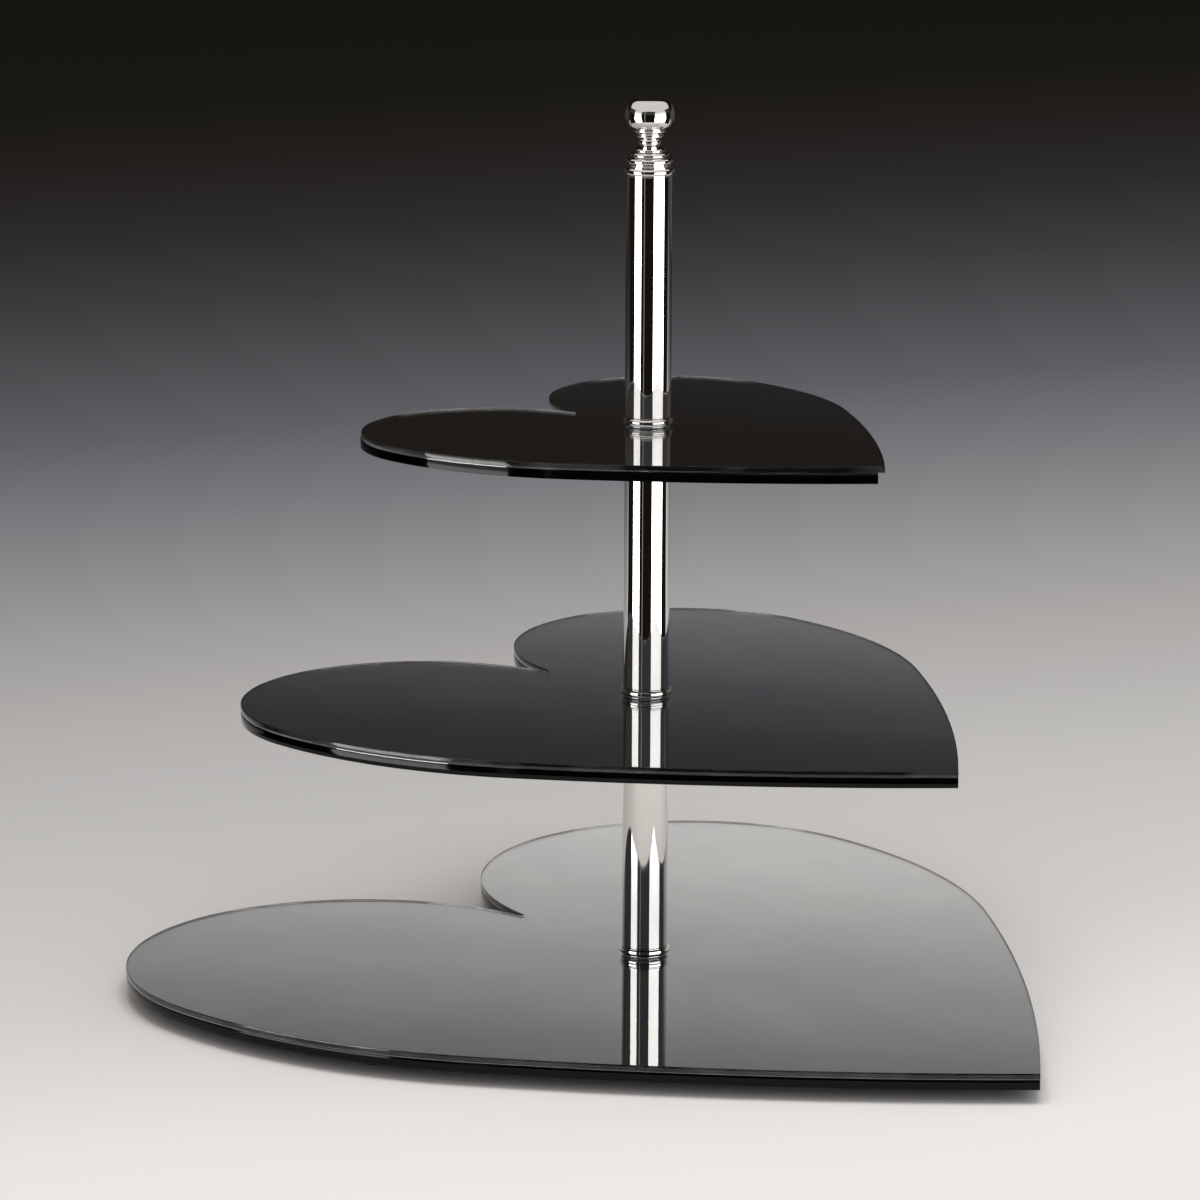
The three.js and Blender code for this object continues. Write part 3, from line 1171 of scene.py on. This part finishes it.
# overhead soft light, a little in front of the pole
OVERHEAD_SIZE = (1.1, 0.8)
OVERHEAD_ENERGY = 14
OVERHEAD_COLOUR = (1.0, 0.99, 0.975)
OVERHEAD_FORWARD = 0.35
OVERHEAD_HEIGHT = 1.7
OVERHEAD_AIM_HEIGHT = 0.1
overhead_data = bpy.data.lights.new("overhead_soft_light", "AREA")
overhead_data.shape = "RECTANGLE"
overhead_data.size, overhead_data.size_y = OVERHEAD_SIZE
overhead_data.energy = OVERHEAD_ENERGY
overhead_data.color = OVERHEAD_COLOUR
overhead = bpy.data.objects.new("overhead_soft_light", overhead_data)
bpy.context.scene.collection.objects.link(overhead)
overhead.location = POLE - ahead * OVERHEAD_FORWARD + UPWARDS * OVERHEAD_HEIGHT
aim = POLE + UPWARDS * OVERHEAD_AIM_HEIGHT - overhead.location
overhead.rotation_euler = aim.to_track_quat("-Z", "Y").to_euler()
overhead.visible_camera = False

# the room: dark in reflections, an even soft fill for matt surfaces, and plain grey where the
# camera sees past the floor
FILL_COLOUR = (0.97, 0.985, 1.0, 1.0)
FILL_STRENGTH = 0.75
BEYOND_TONE = "#8f8e8c"
# tone by how steeply a ray rises, from straight down to straight up
ROOM_TONES = (
    (-1.0, "#17130f"),
    (0.08, "#1a1613"),
    (0.20, "#454648"),
    (0.40, "#2a2a2b"),
    (1.0, "#201f1e"),
)
world = bpy.data.worlds.new("studio_room")
bpy.context.scene.world = world
world.use_nodes = True
room = world.node_tree
room.nodes.clear()
room_output = add_node(room, "ShaderNodeOutputWorld")
direction = add_node(room, "ShaderNodeTexCoord").outputs["Generated"]
rise = add_node(room, "ShaderNodeSeparateXYZ", {"Vector": direction}).outputs["Z"]
seen = add_node(room, "ShaderNodeBackground", {"Color": ramp_by(room, rise, ROOM_TONES)})
fill = add_node(
    room, "ShaderNodeBackground", {"Color": FILL_COLOUR, "Strength": FILL_STRENGTH}
)
beyond = add_node(room, "ShaderNodeBackground", {"Color": to_linear(BEYOND_TONE)})
ray_kind = add_node(room, "ShaderNodeLightPath")
lit = add_node(
    room,
    "ShaderNodeMixShader",
    {
        "Fac": ray_kind.outputs["Is Diffuse Ray"],
        1: seen.outputs["Background"],
        2: fill.outputs["Background"],
    },
)
shown = add_node(
    room,
    "ShaderNodeMixShader",
    {
        "Fac": ray_kind.outputs["Is Camera Ray"],
        1: lit.outputs["Shader"],
        2: beyond.outputs["Background"],
    },
)
room.links.new(shown.outputs["Shader"], room_output.inputs["Surface"])

bpy.context.scene.view_settings.view_transform = "Standard"
bpy.context.scene.view_settings.look = "None"

# ---------- leave nothing selected ---

deselect_all()
